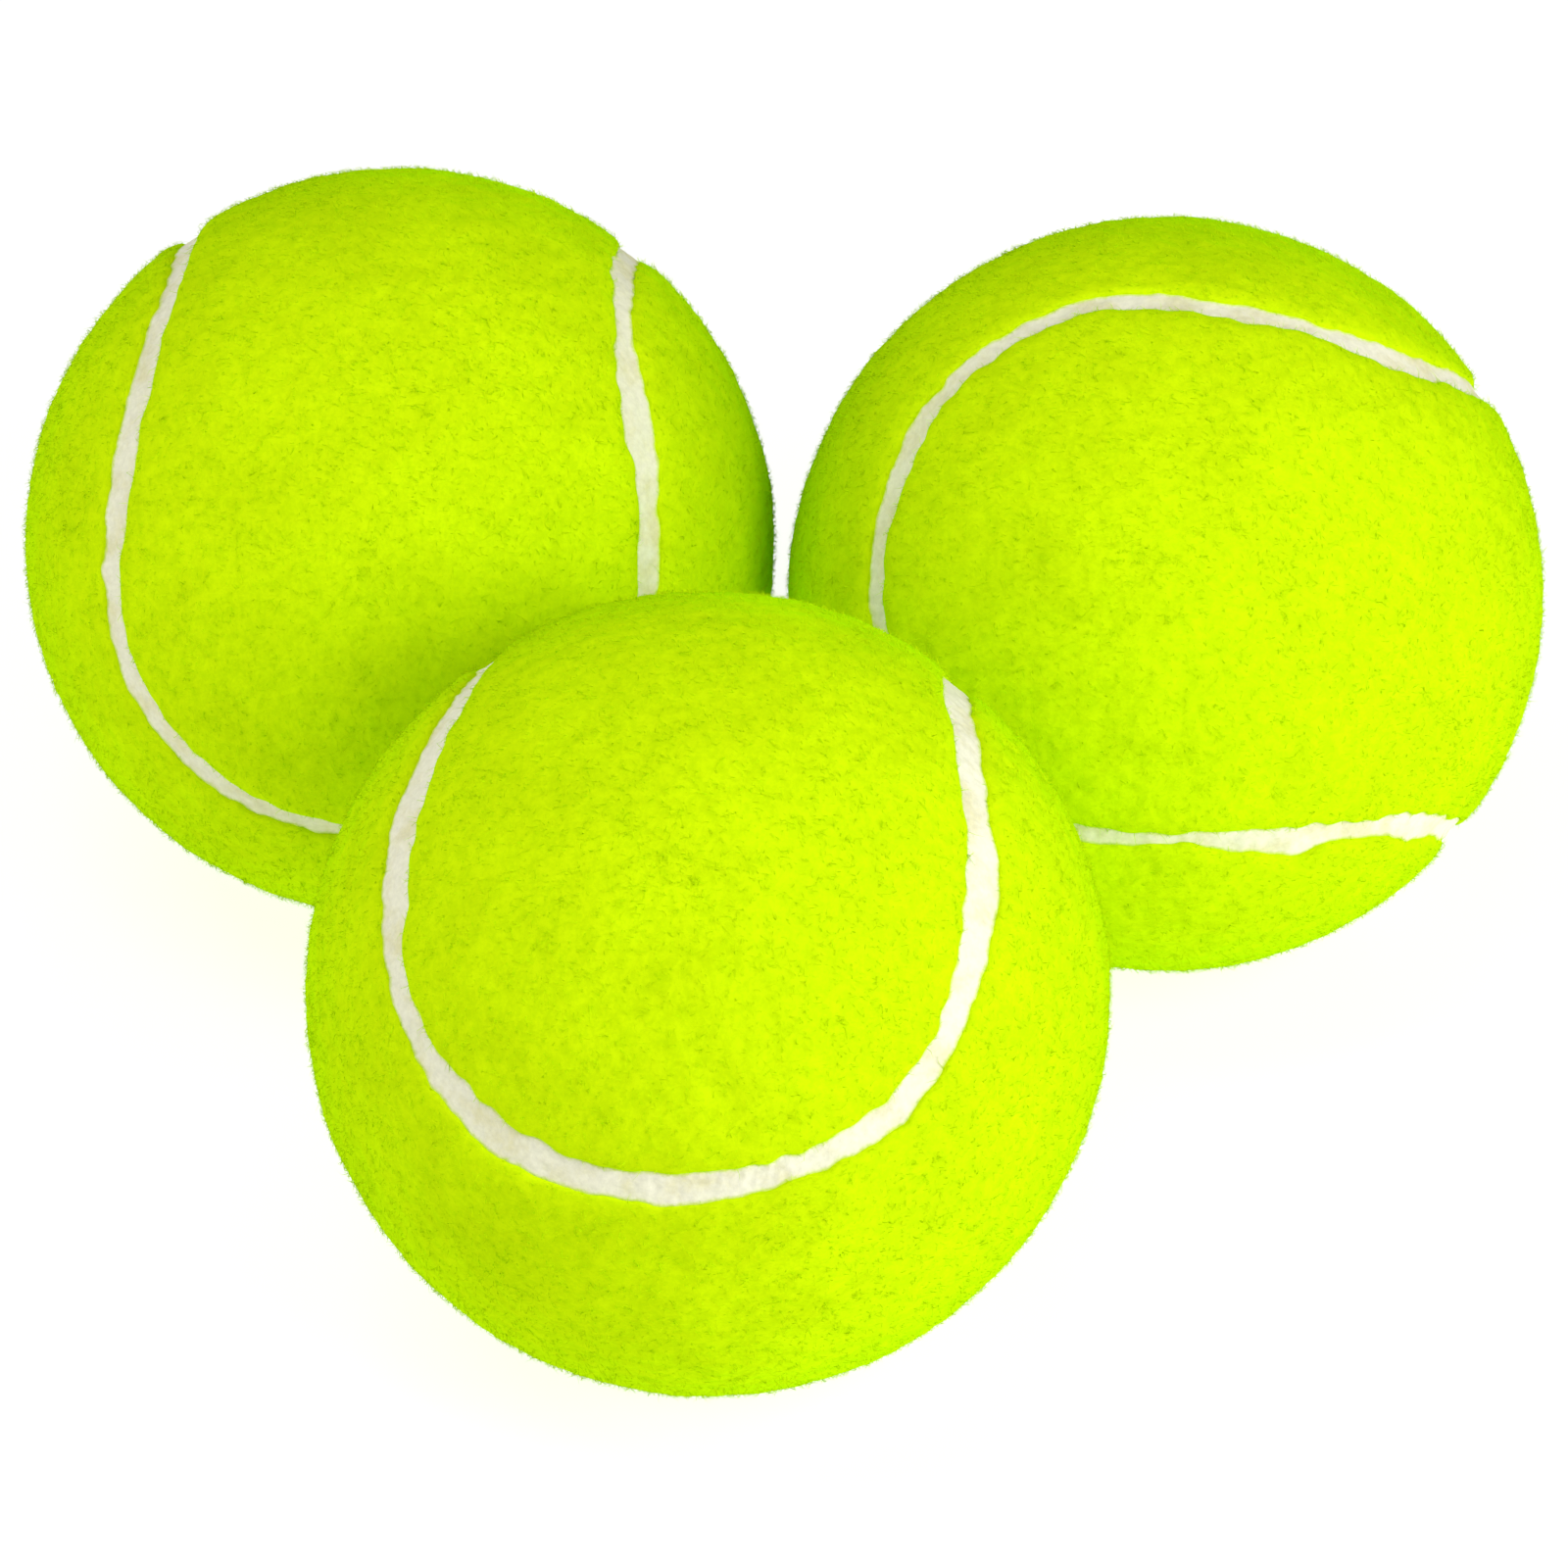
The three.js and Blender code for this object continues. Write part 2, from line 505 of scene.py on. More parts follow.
@dataclass(frozen=True)
class Finishes:
    """Every finish that the balls take, made once."""

    felt: bpy.types.Material = field(default_factory=lambda: NeedleFelt().material())
    # The nap is coloured the same way: painted shade in its pits and a painted highlight on its
    # bunched fibres
    nap: bpy.types.Material = field(
        default_factory=lambda: NeedleFelt(
            name="brushed_felt_nap", deep="C5E606", body="CDEB08", tuft_highlight="D2EF0A"
        ).material()
    )
    seam: bpy.types.Material = field(default_factory=lambda: SeamRubber().material())
    core: bpy.types.Material = field(
        default_factory=lambda: MouldedRubber("moulded_core_rubber", "4A4744", "6E6A64").material()
    )
    cement: bpy.types.Material = field(
        default_factory=lambda: MouldedRubber("rubber_cement", "A08C62", "B9A67C").material()
    )


# ---------------------------------------------------------------------------------------------
# The ball's parts


@dataclass(frozen=True)
class SeamLine:
    """The closed wave that the seam follows, as directions from the ball's centre.

    At angle t the direction is (cos t + p cos 3t + q cos 5t, sin t - p sin 3t + q sin 5t,
    s sin 2t), scaled to length one: p pinches the waists, q squares the lobes and s is the
    swing up and down. Panel 1 lies on the side of the +Z pole, and its lobes reach down to
    their tips at t = 135 and 315 degrees. The side vectors point into panel 1.

    Attributes:
        pinch: The pinch of the waists, p.
        squareness: The squareness of the lobes, q.
        swing: The swing up and down, s.
        tip: Angle at a lobe's tip, in radians.
        samples: Points along the line when distances along it are measured.
    """

    pinch: float = 0.273
    squareness: float = -0.068
    swing: float = 1.083
    tip: float = math.radians(135)
    samples: int = 8193

    def directions(self, t: np.ndarray) -> np.ndarray:
        """Unit directions at angles t, by the formula above."""
        across = np.cos(t) + self.pinch * np.cos(3 * t) + self.squareness * np.cos(5 * t)
        along = np.sin(t) - self.pinch * np.sin(3 * t) + self.squareness * np.sin(5 * t)
        return unit(np.stack([across, along, self.swing * np.sin(2 * t)], axis=-1))

    def spaced(self, count: int) -> tuple[np.ndarray, np.ndarray, np.ndarray]:
        """Places evenly spaced along the line, the first half a step past a lobe's tip.

        Args:
            count: How many places.

        Returns:
            The angle, the unit direction and the unit sideways vector at each place.
        """
        fine = self.tip + np.linspace(0, 2 * np.pi, self.samples)
        steps = np.linalg.norm(np.diff(self.directions(fine), axis=0), axis=1)
        run = np.concatenate([[0], np.cumsum(steps)])
        t = np.interp((np.arange(count) + 0.5) / count * run[-1], run, fine)
        small = 1e-4
        forward = self.directions(t + small) - self.directions(t - small)
        here = self.directions(t)
        return t, here, unit(np.cross(here, forward))

    def length(self, radius: float) -> float:
        """Length of the line on a ball of this radius, in the radius's unit."""
        points = self.directions(np.linspace(0, 2 * np.pi, self.samples))
        return radius * float(np.linalg.norm(np.diff(points, axis=0), axis=1).sum())


@dataclass(frozen=True)
class BallSizes:
    """Sizes that every ball shares, in mm.

    Attributes:
        radius: Over the nap.
        nap_rise: How far the nap's tips stand above the felt's mat.
        felt: Thickness of the felt.
        seam_depth: How far the seam rubber lies below the ball's surface.
        edge_roll: Width over which a panel's edge rounds down into the groove.
        edge_drop: How far it rounds down.
        groove_lip: How far the seam rubber reaches in under the felt's edge.
        meniscus: How far the rubber climbs up the felt's edge.
        press: How much of the nap the ball's weight flattens.
    """

    radius: float = 33.5
    nap_rise: float = 0.25
    felt: float = 3.2
    seam_depth: float = 0.9
    edge_roll: float = 2.0
    edge_drop: float = 0.5
    groove_lip: float = 0.3
    meniscus: float = 0.1
    press: float = 0.4

    @property
    def mat(self) -> float:
        """Radius of the felt's mat, under the nap."""
        return self.radius - self.nap_rise

    @property
    def inside(self) -> float:
        """Radius of the felt's glued side."""
        return self.radius - self.felt


@dataclass(frozen=True)
class Stray:
    """A stretch where the hand-laid seam strays from its usual width or its line.

    Attributes:
        at: Angle along the seam at its middle, in degrees.
        reach: Angle over which it fades out, in degrees.
        wider: How much wider the seam is there, in mm.
        aside: How far the seam strays into panel 1 there, in mm.
    """

    at: float
    reach: float
    wider: float = 0.0
    aside: float = 0.0

    def over(self, t: np.ndarray) -> np.ndarray:
        """Share of the stray at each angle: the exponential of minus distance squared."""
        away = (np.degrees(t) - self.at + 180) % 360 - 180
        return np.exp(-((away / self.reach) ** 2))


@dataclass(frozen=True)
class SeamEdges:
    """Where the felt's two edges run, as distances from the seam's line.

    Attributes:
        width: Usual width of the seam that shows, in mm.
        aside: How far the whole seam lies into panel 1, in mm.
        seed: Seed of the edges' waver.
        strays: Where it strays.
        waver: Root mean square waver of each edge, in mm.
        least: Least width of the seam before its waver, in mm.
    """

    width: float
    aside: float
    seed: int
    strays: tuple[Stray, ...] = ()
    waver: float = 0.15
    least: float = 0.8

    def offset(self, t: np.ndarray, panel: int) -> np.ndarray:
        """Distance from the seam's line to a panel's edge.

        Args:
            t: Angles along the seam.
            panel: 1 or 2.

        Returns:
            Half the width, plus the stray towards that panel, plus the waver.
        """
        width = self.width + sum(stray.wider * stray.over(t) for stray in self.strays)
        aside = self.aside + sum(stray.aside * stray.over(t) for stray in self.strays)
        waver = RaggedLine(self.waver, self.seed + panel).at(t)
        return np.maximum(width, self.least) / 2 + (aside if panel == 1 else -aside) + waver


@dataclass(frozen=True)
class Placing:
    """Where a ball is and how it lies.

    Attributes:
        centre: The ball's centre in mm.
        turn: The matrix from the ball's own axes to the frame's.
        neighbours: The other balls' centres in mm, one a row.
        clear: Space left on each side of the plane midway to a neighbour, in mm.
    """

    centre: np.ndarray
    turn: np.ndarray
    neighbours: np.ndarray
    clear: float = 0.03

    def out(self, own: np.ndarray) -> np.ndarray:
        """Takes points from the ball's own axes, in mm, to the frame."""
        return own @ self.turn.T + self.centre

    def press(self, points: np.ndarray, lift: float) -> np.ndarray:
        """Flattens fibres against the surface and clear of the neighbours.

        Args:
            points: Points in mm in the frame, in the last axis.
            lift: Least height above the surface, in mm.

        Returns:
            The points, with any that were under the surface, or past the plane midway to a
            neighbour, moved straight back to it.
        """
        for neighbour in self.neighbours:
            way = neighbour - self.centre
            gap = float(np.linalg.norm(way))
            past = (points - self.centre) @ (way / gap) - (gap / 2 - self.clear)
            points = points - np.maximum(past, 0)[..., None] * (way / gap)
        points[..., 2] = np.maximum(points[..., 2], lift)
        return points


@dataclass(frozen=True)
class FeltPanel:
    """One dog-bone panel of felt, moulded to the core, as a closed sheet with real thickness.

    A column of points starts on the panel's centre line, crosses the outside to the edge, goes
    down the edge, and comes back along the glued side. Columns leave the seam at right angles,
    so opposite ones meet exactly on the centre line.

    Attributes:
        number: 1 or 2.
        line: The seam's line.
        sizes: The ball's sizes.
        edges: Where the felt's edges run.
        placing: Where the ball is.
        columns: Columns round the seam; even, so that they pair up.
        rows_out: Rows from the edge to the centre line, outside.
        rows_in: The same on the glued side.
        rows_down: Rows of points between the two, down the edge.
        crowding: Power that crowds the outside rows towards the edge; 1 spaces them evenly.
        edge_lumps: Share of the unevenness that is left at the very edge.
        lift: Least height above the surface, in mm.
    """

    number: int
    line: SeamLine
    sizes: BallSizes
    edges: SeamEdges
    placing: Placing
    columns: int = 900
    rows_out: int = 44
    rows_in: int = 8
    rows_down: int = 2
    crowding: float = 1.35
    edge_lumps: float = 0.35
    lift: float = 0.02

    def grid(self) -> np.ndarray:
        """Works out the panel's surface.

        The edge rounds down like a quarter of a circle: the drop is one minus the root of one
        minus the roll squared, where the roll goes from nought to one at the edge.

        Returns:
            Points on a grid of rows and columns, in mm in the frame. Row 0 is the centre line,
            outside.
        """
        t, here, inward = self.line.spaced(self.columns)
        # Half a turn about X swaps the panels and runs the seam's line backwards
        edge = self.edges.offset(t if self.number == 1 else -t, self.number)
        # The centre line is where a column crosses the mirror plane x + y = 0
        mirror = np.array([1, 1, 0]) / math.sqrt(2)
        off, lean = here @ mirror, inward @ mirror
        middle = np.arctan2(np.abs(off), -np.sign(off) * lean) * self.sizes.mat
        span = middle - edge
        # Outside, from the centre line to the edge
        outward = np.linspace(1, 0, self.rows_out + 1)[:, None] ** self.crowding * span
        roll = np.clip(1 - outward / self.sizes.edge_roll, 0, 1)
        drop = self.sizes.edge_drop * (1 - np.sqrt(1 - roll**2))
        radius_out = self.sizes.mat - drop
        # Down the edge, then back along the glued side
        down = np.linspace(0, 1, self.rows_down + 2)[1:-1, None] * np.ones(self.columns)
        rim = self.sizes.mat - self.sizes.edge_drop
        radius_down = rim * (1 - down) + self.sizes.inside * down
        back = np.linspace(0, 1, self.rows_in + 1)[:, None] * span
        distance = edge + np.concatenate([outward, 0 * down, back])
        radius = np.concatenate([radius_out, radius_down, 0 * back + self.sizes.inside])
        angle = (distance / self.sizes.mat)[..., None]
        direction = here * np.cos(angle) + inward * np.sin(angle)
        if self.number == 2:
            direction = direction * np.array([1, -1, -1])
        own = direction * radius[..., None]
        outside = slice(self.rows_out + 1)
        lumps = self.lumps(own[outside].reshape(-1, 3)).reshape(outward.shape)
        share = np.clip(self.edge_lumps + outward / self.sizes.edge_roll, 0, 1)
        own[outside] += direction[outside] * (lumps * share)[..., None]
        return self.placing.press(self.placing.out(own), self.lift)

    def lay(self, points: np.ndarray) -> np.ndarray:
        """Unrolls the panel, so that the felt's grain can follow its length.

        Args:
            points: Points in mm in the frame.

        Returns:
            For each point, in metres, how far it is along the panel from its waist, how far
            across from its centre line, and how far from the ball's centre.
        """
        own = (points - self.placing.centre) @ self.placing.turn
        if self.number == 2:
            own = own * np.array([1, -1, -1])
        along = (own[:, 1] - own[:, 0]) / math.sqrt(2)
        across = (own[:, 1] + own[:, 0]) / math.sqrt(2)
        radius = np.linalg.norm(own, axis=1)
        spread = np.stack([
            self.sizes.radius * np.arctan2(along, own[:, 2]),
            self.sizes.radius * np.arcsin(across / radius),
            radius,
        ], axis=1)
        return spread * MM

    def mark_lay(self, piece: bpy.types.Object, points: np.ndarray) -> None:
        """Gives a piece, whose points in mm are these, the lay that its felt's grain follows."""
        lay = piece.data.attributes.new("lay", "FLOAT_VECTOR", "POINT")
        lay.data.foreach_set("vector", self.lay(points).astype(np.float32).ravel())

    def lumps(self, own: np.ndarray) -> np.ndarray:
        """Unevenness of the brushed felt: broad tufts, small ones and a faint waviness."""
        seed = 40 + self.edges.seed
        broad = Relief(wavelength=9.0, height=0.035, seed=seed).at(own)
        tufts = Relief(wavelength=3.2, height=0.03, seed=seed + 1).at(own)
        ripples = Relief(wavelength=1.5, height=0.03, seed=seed + 2).at(own)
        return broad + tufts + ripples

    def build(self) -> tuple[np.ndarray, np.ndarray, int]:
        """Joins the grid into a closed surface.

        Returns:
            The points, the triangles, and how many of the triangles, from the start, are the
            outside.
        """
        points = self.grid()
        rows, columns, _ = points.shape
        number = np.arange(rows * columns).reshape(rows, columns)
        # On both centre lines, a column and its opposite share one point
        pair = np.minimum(np.arange(columns), columns - 1 - np.arange(columns))
        number[0], number[-1] = number[0][pair], number[-1][pair]
        a, b = number[:-1], np.roll(number[:-1], -1, axis=1)
        c, d = np.roll(number[1:], -1, axis=1), number[1:]
        cells = np.stack([np.stack([a, d, c], -1), np.stack([a, c, b], -1)], axis=2)
        # Cells at the centre lines' ends have corners in common, so they lose a triangle
        bands = (band.reshape(-1, 3) for band in np.split(cells, [self.rows_out]))
        outside, rest = (
            band[(np.diff(np.sort(band, axis=1), axis=1) > 0).all(axis=1)] for band in bands
        )
        triangles = np.concatenate([outside, rest])
        used, renumbered = np.unique(triangles, return_inverse=True)
        return points.reshape(-1, 3)[used], renumbered.reshape(-1, 3), len(outside)

    def flat_size(self) -> tuple[float, float]:
        """Size of the flat felt that the panel was cut from, in mm.

        Returns:
            The width across a lobe and the length from tip to tip, both along the felt's
            middle surface between the seam's lines, less the seam's width.
        """
        middle = (self.sizes.mat + self.sizes.inside) / 2
        here = self.line.directions(np.linspace(0, 2 * np.pi, self.line.samples))
        along = (here[:, 1] - here[:, 0]) / math.sqrt(2)
        across = (here[:, 1] + here[:, 0]) / math.sqrt(2)
        width = 2 * middle * np.arcsin(np.abs(across)).max()
        length = 2 * middle * np.abs(np.arctan2(along, here[:, 2])).max()
        return float(width) - self.edges.width, float(length) - self.edges.width

    def flat_area(self) -> float:
        """Area of the panel before it was stretched over the core, in square mm.

        Returns:
            Half the ball's surface at the felt's middle, less half the seam's groove.
        """
        middle = (self.sizes.mat + self.sizes.inside) / 2
        groove = self.line.length(middle) * self.edges.width
        return 2 * math.pi * middle**2 - groove / 2


@dataclass(frozen=True)
class Nap:
    """Loose fibre ends that stand and curl out of a felt panel, each a tapered bent spike.

    A fibre has a root, a bend and a tip. It leaves the mat steeply and bends over, and its
    three-sided section shrinks from root to bend to nothing.

    Attributes:
        seed: Seed of the roots, lengths and leans.
        placing: Where the ball is.
        stand: Radius in mm past which fibres are brushed down to half their height.
        fibres: How many fibres a panel carries.
        length: Median length in mm.
        spread: How uneven the lengths are: the standard deviation of their logarithm.
        longest: Greatest length, as a multiple of the median.
        thickness: Thickness at the root in mm, twice a real fibre's so that it shows.
        taper: Thickness at the bend, as a share of the root's.
        sink: How deep the root starts under the mat, in mm.
        lean: Mean angle of the lower half from upright, its deviation, and its limits.
        bow: The same for the upper half.
        curl: How far the upper half strays from the way that the lower half leans.
        lift: Least height above the surface, in mm.
    """

    seed: int
    placing: Placing
    stand: float
    fibres: int = 18500
    length: float = 0.95
    spread: float = 0.3
    longest: float = 2.0
    thickness: float = 0.055
    taper: float = 0.7
    sink: float = 0.08
    lean: tuple[float, float, float, float] = (56, 15, 15, 80)
    bow: tuple[float, float, float, float] = (80, 14, 40, 105)
    curl: float = 0.7
    lift: float = 0.01

    def tilt(self, rng: np.random.Generator, bounds: Sequence[float]) -> np.ndarray:
        """Draws each fibre's angle from upright, in radians, as a column."""
        mean, deviation, least, most = bounds
        drawn = rng.normal(mean, deviation, self.fibres)
        return np.radians(np.clip(drawn, least, most))[:, None]

    def build(
        self, points: np.ndarray, triangles: np.ndarray
    ) -> tuple[np.ndarray, np.ndarray, np.ndarray]:
        """Grows the fibres.

        Args:
            points: The panel's points in mm.
            triangles: The triangles that fibres grow on.

        Returns:
            The fibres' points, seven to a fibre, their triangles, ten to a fibre, and the
            place of each triangle's corners on the bake's map.
        """
        rng = np.random.default_rng(self.seed)
        corner = points[triangles]
        across = np.cross(corner[:, 1] - corner[:, 0], corner[:, 2] - corner[:, 0])
        area = np.linalg.norm(across, axis=1)
        chosen = rng.choice(len(triangles), self.fibres, p=area / area.sum())
        share = rng.dirichlet(np.ones(3), self.fibres)
        root = np.einsum("nk,nkd->nd", share, corner[chosen])
        out = across[chosen] / area[chosen, None]
        # Fibres lie every way, a little more often along the felt's brushing direction
        brush = np.cross(out, rng.normal(size=(self.fibres, 3)) + np.array([0.0, 0.5, 0.0]))
        brush = unit(brush)
        curl = unit(brush + self.curl * rng.normal(size=(self.fibres, 3)))
        length = self.length * np.exp(self.spread * rng.normal(size=self.fibres))
        length = np.minimum(length, self.longest * self.length)[:, None]
        lean = self.tilt(rng, self.lean)
        bow = self.tilt(rng, self.bow)
        first = out * np.cos(lean) + brush * np.sin(lean)
        second = out * np.cos(bow) + curl * np.sin(bow)
        start = root - out * self.sink
        bend = start + first * length / 2
        tip = bend + second * length / 2
        sideways = unit(np.cross(first, out))
        upright = np.cross(sideways, first)
        around = (np.arange(3) * 2 * np.pi / 3)[:, None]
        ring = sideways[:, None] * np.cos(around) + upright[:, None] * np.sin(around)
        thick = self.thickness / 2
        lower = start[:, None] + ring * thick
        upper = bend[:, None] + ring * thick * self.taper
        made = np.concatenate([lower, upper, tip[:, None]], axis=1)
        from_centre = made - self.placing.centre
        radius = np.linalg.norm(from_centre, axis=-1, keepdims=True)
        brushed = np.where(radius > self.stand, self.stand + (radius - self.stand) / 2, radius)
        made = self.placing.centre + from_centre * brushed / radius
        made = self.placing.press(made, self.lift)
        # The root's ring is corners 0 to 2, the bend's 3 to 5 and the tip 6
        sides = [((i, j, 3 + j), (i, 3 + j, 3 + i)) for i, j in ((0, 1), (1, 2), (2, 0))]
        point = [(3, 4, 6), (4, 5, 6), (5, 3, 6)]
        pattern = np.array([(0, 2, 1)] + [face for side in sides for face in side] + point)
        faces = (pattern[None] + 7 * np.arange(self.fibres)[:, None, None]).reshape(-1, 3)
        # Each fibre has a square of the map to itself, its root at the bottom of the square
        spot = np.array([
            (0.2, 0.2), (0.5, 0.3), (0.8, 0.2), (0.2, 0.5), (0.5, 0.6), (0.8, 0.5), (0.5, 0.8),
        ])
        across_map = math.ceil(math.sqrt(self.fibres))
        square = np.stack(np.divmod(np.arange(self.fibres), across_map), axis=1)
        places = (square[:, None, None] + spot[pattern][None]) / across_map
        return made.reshape(-1, 3), faces, places.reshape(-1, 2)


@dataclass(frozen=True)
class SeamBead:
    """The bead of seam rubber, a closed strip carried along the seam's line.

    Its top is hollow along the middle, climbs to the felt on both sides and is faintly lumpy
    where the rubber was brushed on. Its sides reach in under the felt's ragged edges.

    Attributes:
        line: The seam's line.
        sizes: The ball's sizes.
        edges: Where the felt's edges run.
        placing: Where the ball is.
        columns: Sections along the line.
        rows: Points across the top.
        foot: How far its underside stands off the core, in mm.
    """

    line: SeamLine
    sizes: BallSizes
    edges: SeamEdges
    placing: Placing
    columns: int = 1500
    rows: int = 13
    foot: float = 0.05

    def build(self) -> tuple[np.ndarray, np.ndarray, np.ndarray]:
        """Carries the section along the line.

        Returns:
            The points, the triangles, and each point's distance from the felt's edge, in mm.
        """
        t, here, inward = self.line.spaced(self.columns)
        lip = self.sizes.groove_lip
        one = self.edges.offset(t, 1) + lip
        two = self.edges.offset(t, 2) + lip
        # Across the top from panel 2 to panel 1; the height is the depth plus a cubic climb
        across = np.linspace(-1, 1, self.rows)[:, None]
        distance = np.where(across > 0, across * one, across * two)
        top = self.sizes.radius - self.sizes.seam_depth + self.sizes.meniscus * np.abs(across) ** 3
        angle = (distance / self.sizes.mat)[..., None]
        direction = here * np.cos(angle) + inward * np.sin(angle)
        flat = (direction * top[..., None]).reshape(-1, 3)
        seed = 70 + self.edges.seed
        strokes = Relief(wavelength=4.0, height=0.05, seed=seed).at(flat)
        grains = Relief(wavelength=1.1, height=0.03, seed=seed + 1).at(flat)
        upper = direction * (top + (strokes + grains).reshape(distance.shape))[..., None]
        under = direction[[-1, 0]] * (self.sizes.inside + self.foot)
        own = np.concatenate([upper, under])
        rows = len(own)
        number = np.arange(rows * self.columns).reshape(rows, self.columns)
        a, b = number, np.roll(number, -1, axis=1)
        c, d = np.roll(b, -1, axis=0), np.roll(number, -1, axis=0)
        triangles = np.stack([np.stack([a, b, c], -1), np.stack([a, c, d], -1)], axis=2)
        points = self.placing.out(own.reshape(-1, 3))
        gap = np.where(across > 0, one, two) - lip - np.abs(distance)
        gap = np.concatenate([gap, np.zeros((2, self.columns))])
        return points, triangles.reshape(-1, 3), gap.ravel()


@dataclass
class TennisBall:
    """One ball: two felt panels with their nap, the seam between them and the core inside.

    Attributes:
        name: Which ball.
        turn: How it lies, in degrees about X, Y and Z.
        edges: Where its felt's edges run.
        sizes: The sizes that every ball shares.
        line: The seam's line.
    """

    name: BallName
    turn: tuple[float, float, float]
    edges: SeamEdges
    sizes: BallSizes = field(default_factory=BallSizes)
    line: SeamLine = field(default_factory=SeamLine)

    def node(self, part: str) -> str:
        """Name of this ball's CAD node for a part."""
        return f"{self.name.value}_{part}"

    @property
    def body(self) -> str:
        """Name of the body that the ball's pieces ride on."""
        return f"ball_{self.name.value}"

    def centre(self) -> np.ndarray:
        """Finds the ball from its felt's box, which stands on the surface.

        Returns:
            The middle of the box, at a radius less the press above its foot, in mm.
        """
        boxes = [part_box(self.node(f"felt_panel_{i}")) for i in (1, 2)]
        low = np.min([np.array(low) for low, _ in boxes], axis=0) / MM
        high = np.max([np.array(high) for _, high in boxes], axis=0) / MM
        centre = (low + high) / 2
        centre[2] = low[2] + self.sizes.radius - self.sizes.press
        return centre

    def settle(self, piece: bpy.types.Object) -> None:
        """Makes a piece ride on the ball, and reports it."""
        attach(piece, self.body)
        report(piece)

    def build_felt(self, finishes: Finishes, placing: Placing) -> None:
        """Builds both felt panels and their nap.

        Args:
            finishes: The finishes to use.
            placing: Where the ball is.
        """
        for number in (1, 2):
            panel = FeltPanel(number, self.line, self.sizes, self.edges, placing)
            points, triangles, outside = panel.build()
            felt = mesh_object(self.node(f"felt_{number}"), points, triangles, finishes.felt)
            panel.mark_lay(felt, points)
            self.settle(felt)
            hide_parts(self.node(f"felt_panel_{number}"))
            growth = Nap(10 * self.edges.seed + number, placing, self.sizes.radius)
            tips, spikes, places = growth.build(points, triangles[:outside])
            nap = mesh_object(self.node(f"nap_{number}"), tips, spikes, finishes.nap)
            panel.mark_lay(nap, tips)
            chart = nap.data.uv_layers.new(name="OFBake")
            chart.data.foreach_set("uv", places.astype(np.float32).ravel())
            self.settle(nap)
            width, length = panel.flat_size()
            panel.flat_area() * MM * MM

    def build_seam(self, finishes: Finishes, placing: Placing) -> None:
        """Builds the bead of seam rubber.

        Args:
            finishes: The finishes to use.
            placing: Where the ball is.
        """
        points, triangles, gap = SeamBead(self.line, self.sizes, self.edges, placing).build()
        bead = mesh_object(self.node("seam_bead"), points, triangles, finishes.seam)
        felt_gap = bead.data.attributes.new("felt_gap", "FLOAT", "POINT")
        felt_gap.data.foreach_set("value", gap.astype(np.float32))
        self.settle(bead)
        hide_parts(self.node("seam"))

    def dress_core(self, finishes: Finishes) -> None:
        """Gives the core's CAD nodes their rubber and cement."""
        for part, material in (
            ("core_half_1", finishes.core),
            ("core_half_2", finishes.core),
            ("core_joint", finishes.cement),
        ):
            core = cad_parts[self.node(part)]
            core.data.materials.clear()
            core.data.materials.append(material)
            report(core)

    def build(self, finishes: Finishes, others: Sequence[np.ndarray]) -> None:
        """Builds and dresses the whole ball.

        Args:
            finishes: The finishes to use.
            others: The other balls' centres in mm.
        """
        placing = Placing(self.centre(), turning(self.turn), np.array(others))
        self.build_felt(finishes, placing)
        self.build_seam(finishes, placing)
        self.dress_core(finishes)


# ---------------------------------------------------------------------------------------------
# Studio


@dataclass(frozen=True)
class SoftBox:
    """A square soft light aimed at the balls.

    Attributes:
        name: The light's name.
        azimuth: Degrees round from the front, towards the right.
        elevation: Degrees above the surface.
        distance: Distance from the balls in metres.
        level: Light that it gives on a surface facing it, as a share of full white.
    """

    name: str
    azimuth: float
    elevation: float
    distance: float
    level: float

    def hang(self, target: Vector) -> None:
        """Puts the light up, facing the target, half as wide as it is far away.

        A square light of power P at a distance d makes white paper P / (pi d)^2 bright.
        """
        lamp = bpy.data.lights.new(self.name, "AREA")
        lamp.shape, lamp.size = "SQUARE", self.distance / 2
        lamp.energy = self.level * (math.pi * self.distance) ** 2
        made = bpy.data.objects.new(self.name, lamp)
        away = direction_to(self.azimuth, self.elevation)
        made.location = target + away * self.distance
        made.rotation_euler = away.to_track_quat("Z", "Y").to_euler()
        bpy.context.scene.collection.objects.link(made)


def direction_to(azimuth: float, elevation: float) -> Vector:
    """Unit vector towards a place seen from the balls.

    Args:
        azimuth: Degrees round from -Y, towards +X.
        elevation: Degrees above the surface.

    Returns:
        The vector.
    """
    a, e = math.radians(azimuth), math.radians(elevation)
    return Vector((math.sin(a) * math.cos(e), -math.cos(a) * math.cos(e), math.sin(e)))


